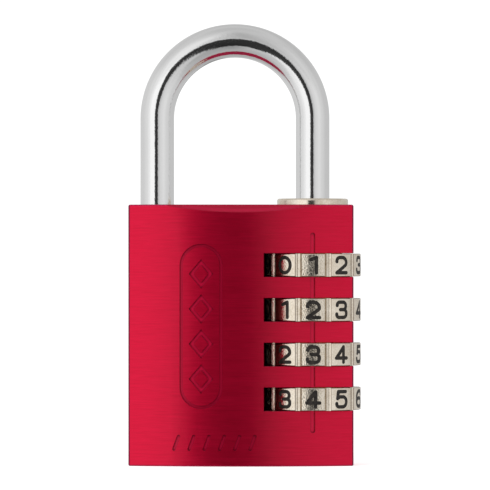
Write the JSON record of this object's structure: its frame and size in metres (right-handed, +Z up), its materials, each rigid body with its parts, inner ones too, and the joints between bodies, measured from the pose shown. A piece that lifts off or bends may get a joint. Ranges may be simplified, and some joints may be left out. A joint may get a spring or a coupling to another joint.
{
  "type": "combination padlock",
  "caption": "Small keyless padlock: a flat red metal case with a round steel shackle that lifts once its number dials are set.",
  "frame": {"origin": "centre of the case's flat underside", "axes": "+Z up along the shackle's legs, +X towards the heel and the dials, front face with the index line towards -Y"},
  "size_m": [0.0414, 0.0172, 0.0787],
  "materials": {
    "anodised_case": "red anodised, brushed across",
    "shackle_chrome": "polished chrome plate on hardened steel",
    "collar_nickel": "satin nickel plate",
    "dial_metal": "nickel plate over a fine cast grain",
    "digit_enamel": "black enamel",
    "sleeve_brass": "turned",
    "spring_steel": "oiled spring steel",
    "plug_metal": "turned, satin"
  },
  "bodies": {
    "case": {"case": "anodised_case", "guide_collar": "collar_nickel", "bottom_plug": "plug_metal", "thrust_ring": "sleeve_brass", "reset_spring": "spring_steel", "detent_spring_1": "spring_steel", "detent_spring_2": "spring_steel", "detent_spring_3": "spring_steel", "detent_spring_4": "spring_steel"},
    "shackle": {"shackle": "shackle_chrome", "retaining_ring": "spring_steel"},
    "dial_1": {"number_dial_1": "dial_metal", "dial_ink_1": "digit_enamel", "code_sleeve_1": "sleeve_brass"},
    "dial_2": {"number_dial_2": "dial_metal", "dial_ink_2": "digit_enamel", "code_sleeve_2": "sleeve_brass"},
    "dial_3": {"number_dial_3": "dial_metal", "dial_ink_3": "digit_enamel", "code_sleeve_3": "sleeve_brass"},
    "dial_4": {"number_dial_4": "dial_metal", "dial_ink_4": "digit_enamel", "code_sleeve_4": "sleeve_brass"}
  },
  "joints": [
    {"name": "shackle_lift", "type": "slide", "parent": "case", "child": "shackle", "axis": [0, 0, 1], "range_m": [0, 0.00792]},
    {"name": "dial_1_turn", "type": "hinge", "parent": "case", "child": "dial_1", "pos_m": [0.0128, 0, 0.03566], "axis": [0, 0, 1], "continuous": true},
    {"name": "dial_2_turn", "type": "hinge", "parent": "case", "child": "dial_2", "pos_m": [0.0128, 0, 0.02774], "axis": [0, 0, 1], "continuous": true},
    {"name": "dial_3_turn", "type": "hinge", "parent": "case", "child": "dial_3", "pos_m": [0.0128, 0, 0.01982], "axis": [0, 0, 1], "continuous": true},
    {"name": "dial_4_turn", "type": "hinge", "parent": "case", "child": "dial_4", "pos_m": [0.0128, 0, 0.0119], "axis": [0, 0, 1], "continuous": true}
  ]
}
